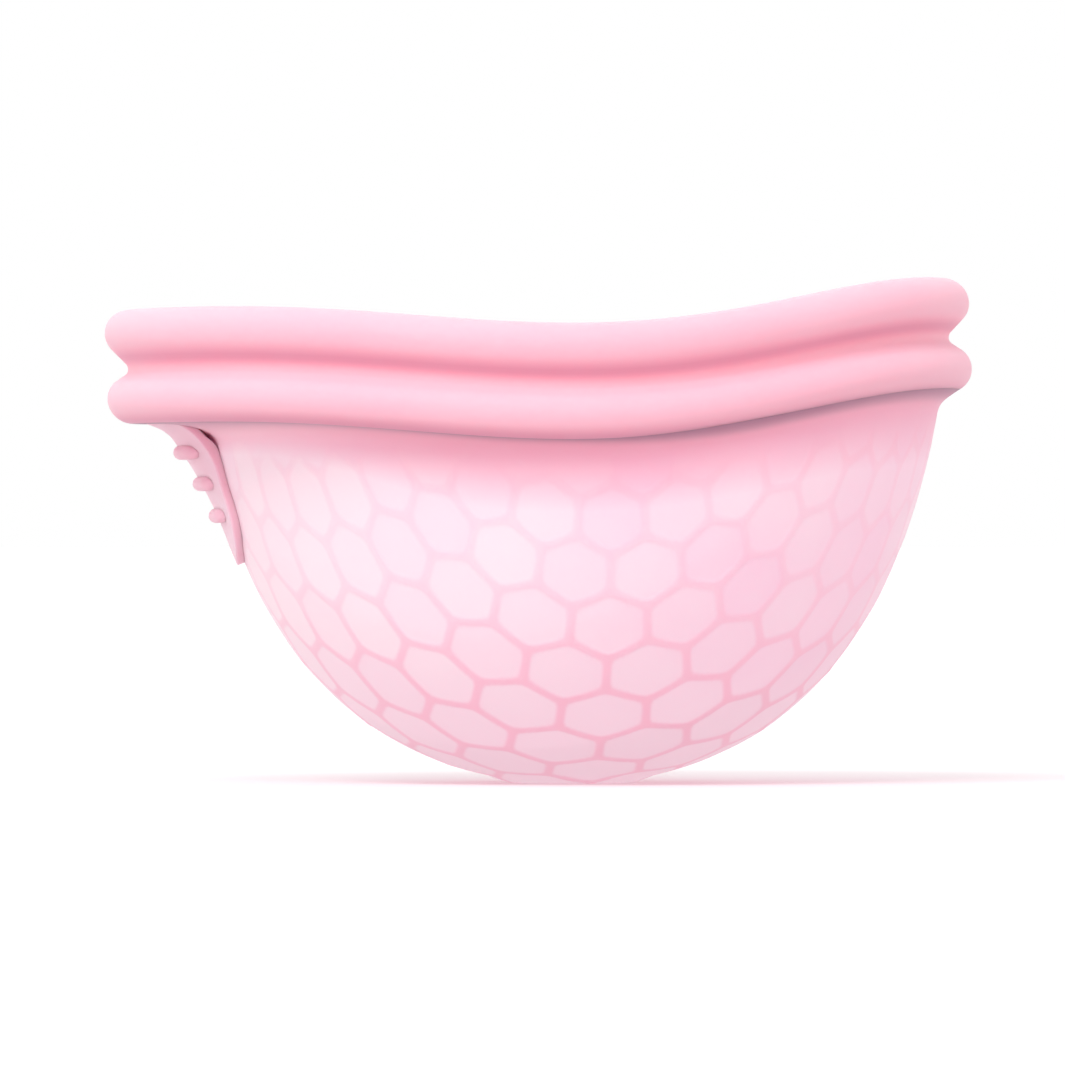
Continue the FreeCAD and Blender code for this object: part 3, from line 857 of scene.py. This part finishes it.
def make_floor():
    bpy.ops.mesh.primitive_circle_add(vertices=96, radius=FLOOR_RADIUS, fill_type="NGON")
    floor = bpy.context.object
    floor.name = "floor"
    floor.data.materials.append(floor_material())
    floor.visible_diffuse = False      # so that the light from below is the world's, and not the floor's


def add_sun(name, direction, strength, spread):
    """A soft even light: direction is where it comes from, spread its width in degrees."""
    data = bpy.data.lights.new(name, "SUN")
    data.energy, data.angle = strength, math.radians(spread)
    lamp = bpy.data.objects.new(name, data)
    lamp.rotation_euler = Vector(direction).to_track_quat("Z", "Y").to_euler()
    bpy.context.scene.collection.objects.link(lamp)


def make_world():
    """Light from all round: a little brighter above and below, dimmer on the right, white at the horizon."""
    world = bpy.data.worlds.new("studio")
    world.use_nodes = True
    tree = world.node_tree
    direction = tree.nodes.new("ShaderNodeTexCoord")
    split = tree.nodes.new("ShaderNodeSeparateXYZ")
    tree.links.new(direction.outputs["Generated"], split.inputs[0])

    def share(axis, band, from_value, to_value):
        """A value that changes over a band of the direction's X or Z."""
        node = tree.nodes.new("ShaderNodeMapRange")
        tree.links.new(split.outputs[axis], node.inputs[0])
        for socket, number in zip(list(node.inputs)[1:5], (*band, from_value, to_value)):
            socket.default_value = number
        return node.outputs[0]

    def join(operation, first, second):
        node = tree.nodes.new("ShaderNodeMath")
        node.operation = operation
        tree.links.new(first, node.inputs[0])
        tree.links.new(second, node.inputs[1])
        return node.outputs[0]

    high = share("Z", WORLD_HIGH, 0, 1)
    upright = join("ADD", share("Z", WORLD_TOP, 0, WORLD_ABOVE - 1), share("Z", WORLD_LOW, WORLD_BELOW, 1))
    dimming = join("MULTIPLY", high, share("X", WORLD_SIDE, 0, 1 - WORLD_RIGHT))
    strength = join("SUBTRACT", upright, dimming)
    tinting = join("MULTIPLY", high, share("X", WORLD_SIDE, 0, 1))
    white = join("SUBTRACT", share("Z", WORLD_LOW, 0, 1), tinting)
    tint = tree.nodes.new("ShaderNodeMixRGB")
    tree.links.new(white, tint.inputs["Fac"])
    tint.inputs["Color1"].default_value = FILL_TINT
    tint.inputs["Color2"].default_value = (1, 1, 1, 1)
    background = tree.nodes["Background"]
    tree.links.new(tint.outputs["Color"], background.inputs["Color"])
    tree.links.new(strength, background.inputs["Strength"])
    bpy.context.scene.world = world


def make_camera():
    """A long lens level with the middle of the frame, looking along +Y."""
    data = bpy.data.cameras.new("camera")
    data.sensor_width = SENSOR_WIDTH
    data.lens = SENSOR_WIDTH * CAMERA_DISTANCE / VIEW_WIDTH
    camera = bpy.data.objects.new("camera", data)
    camera.location = (VIEW_X * MM, -CAMERA_DISTANCE * MM, VIEW_Z * MM)
    camera.rotation_euler = (math.pi / 2, 0, 0)
    bpy.context.scene.collection.objects.link(camera)
    bpy.context.scene.camera = camera


make_floor()
make_world()
add_sun("top_softbox", SUN_FROM, SUN_STRENGTH, SUN_SPREAD)
make_camera()
bpy.context.scene.view_settings.view_transform = "Standard"
